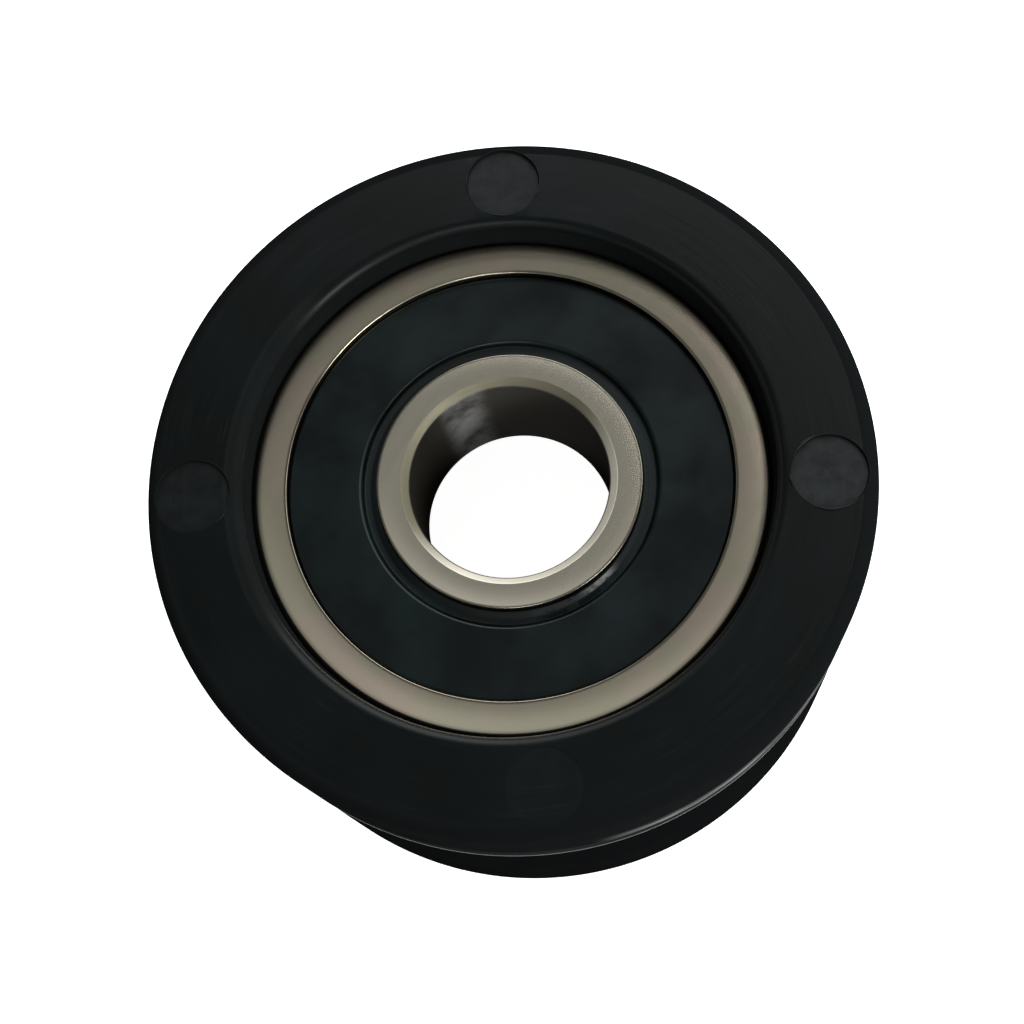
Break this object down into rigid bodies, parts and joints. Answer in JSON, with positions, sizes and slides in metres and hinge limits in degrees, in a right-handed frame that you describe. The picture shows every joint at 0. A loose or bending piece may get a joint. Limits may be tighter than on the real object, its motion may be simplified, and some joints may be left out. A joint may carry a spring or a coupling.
{
  "type": "v groove wheel",
  "caption": "Moulded plastic V groove guide wheel on a sealed steel ball bearing, turning on an axle through its bore.",
  "frame": {"origin": "on the spin axis, at the middle of the wheel's width", "axes": "+Z along the spin axis, out of the side that the bearing was pushed in from; +X through the first of the ejector marks"},
  "size_m": [0.036, 0.036, 0.02],
  "materials": {
    "black_plastic": "black moulded nylon, satin with fine rub marks",
    "bearing_steel": "fine ground bearing steel",
    "ball_steel": "polished bearing steel",
    "cage_steel": "pressed low carbon steel strip",
    "seal_rubber": "black nitrile rubber, smooth with a slight bloom"
  },
  "bodies": {
    "axle_ring": {"inner_ring": "bearing_steel"},
    "wheel": {"groove_wheel": "black_plastic", "outer_ring": "bearing_steel", "seal_front": "seal_rubber", "seal_back": "seal_rubber"},
    "cage": {"cage_front": "cage_steel", "cage_back": "cage_steel", "cage_rivets": "cage_steel"},
    "ball_1": {"ball_1": "ball_steel"},
    "ball_2": {"ball_2": "ball_steel"},
    "ball_3": {"ball_3": "ball_steel"},
    "ball_4": {"ball_4": "ball_steel"},
    "ball_5": {"ball_5": "ball_steel"},
    "ball_6": {"ball_6": "ball_steel"},
    "ball_7": {"ball_7": "ball_steel"}
  },
  "joints": [
    {"name": "wheel_spin", "type": "hinge", "parent": "axle_ring", "child": "wheel", "pos_m": [0, 0, 0.0044], "axis": [0, 0, 1], "continuous": true},
    {"name": "cage_spin", "type": "hinge", "parent": "axle_ring", "child": "cage", "pos_m": [0, 0, 0.0044], "axis": [0, 0, 1], "continuous": true},
    {"name": "ball_1_spin", "type": "hinge", "parent": "cage", "child": "ball_1", "pos_m": [0.009, 0, 0.0044], "axis": [0, 0, 1], "continuous": true},
    {"name": "ball_2_spin", "type": "hinge", "parent": "cage", "child": "ball_2", "pos_m": [0.00561, 0.00704, 0.0044], "axis": [0, 0, 1], "continuous": true},
    {"name": "ball_3_spin", "type": "hinge", "parent": "cage", "child": "ball_3", "pos_m": [-0.002, 0.00877, 0.0044], "axis": [0, 0, 1], "continuous": true},
    {"name": "ball_4_spin", "type": "hinge", "parent": "cage", "child": "ball_4", "pos_m": [-0.00811, 0.0039, 0.0044], "axis": [0, 0, 1], "continuous": true},
    {"name": "ball_5_spin", "type": "hinge", "parent": "cage", "child": "ball_5", "pos_m": [-0.00811, -0.0039, 0.0044], "axis": [0, 0, 1], "continuous": true},
    {"name": "ball_6_spin", "type": "hinge", "parent": "cage", "child": "ball_6", "pos_m": [-0.002, -0.00877, 0.0044], "axis": [0, 0, 1], "continuous": true},
    {"name": "ball_7_spin", "type": "hinge", "parent": "cage", "child": "ball_7", "pos_m": [0.00561, -0.00704, 0.0044], "axis": [0, 0, 1], "continuous": true}
  ],
  "couplings": [
    {"joint": "cage_spin", "follows": "wheel_spin", "ratio": 0.6323},
    {"joint": "ball_1_spin", "follows": "wheel_spin", "ratio": 1.7577},
    {"joint": "ball_2_spin", "follows": "wheel_spin", "ratio": 1.7577},
    {"joint": "ball_3_spin", "follows": "wheel_spin", "ratio": 1.7577},
    {"joint": "ball_4_spin", "follows": "wheel_spin", "ratio": 1.7577},
    {"joint": "ball_5_spin", "follows": "wheel_spin", "ratio": 1.7577},
    {"joint": "ball_6_spin", "follows": "wheel_spin", "ratio": 1.7577},
    {"joint": "ball_7_spin", "follows": "wheel_spin", "ratio": 1.7577}
  ]
}
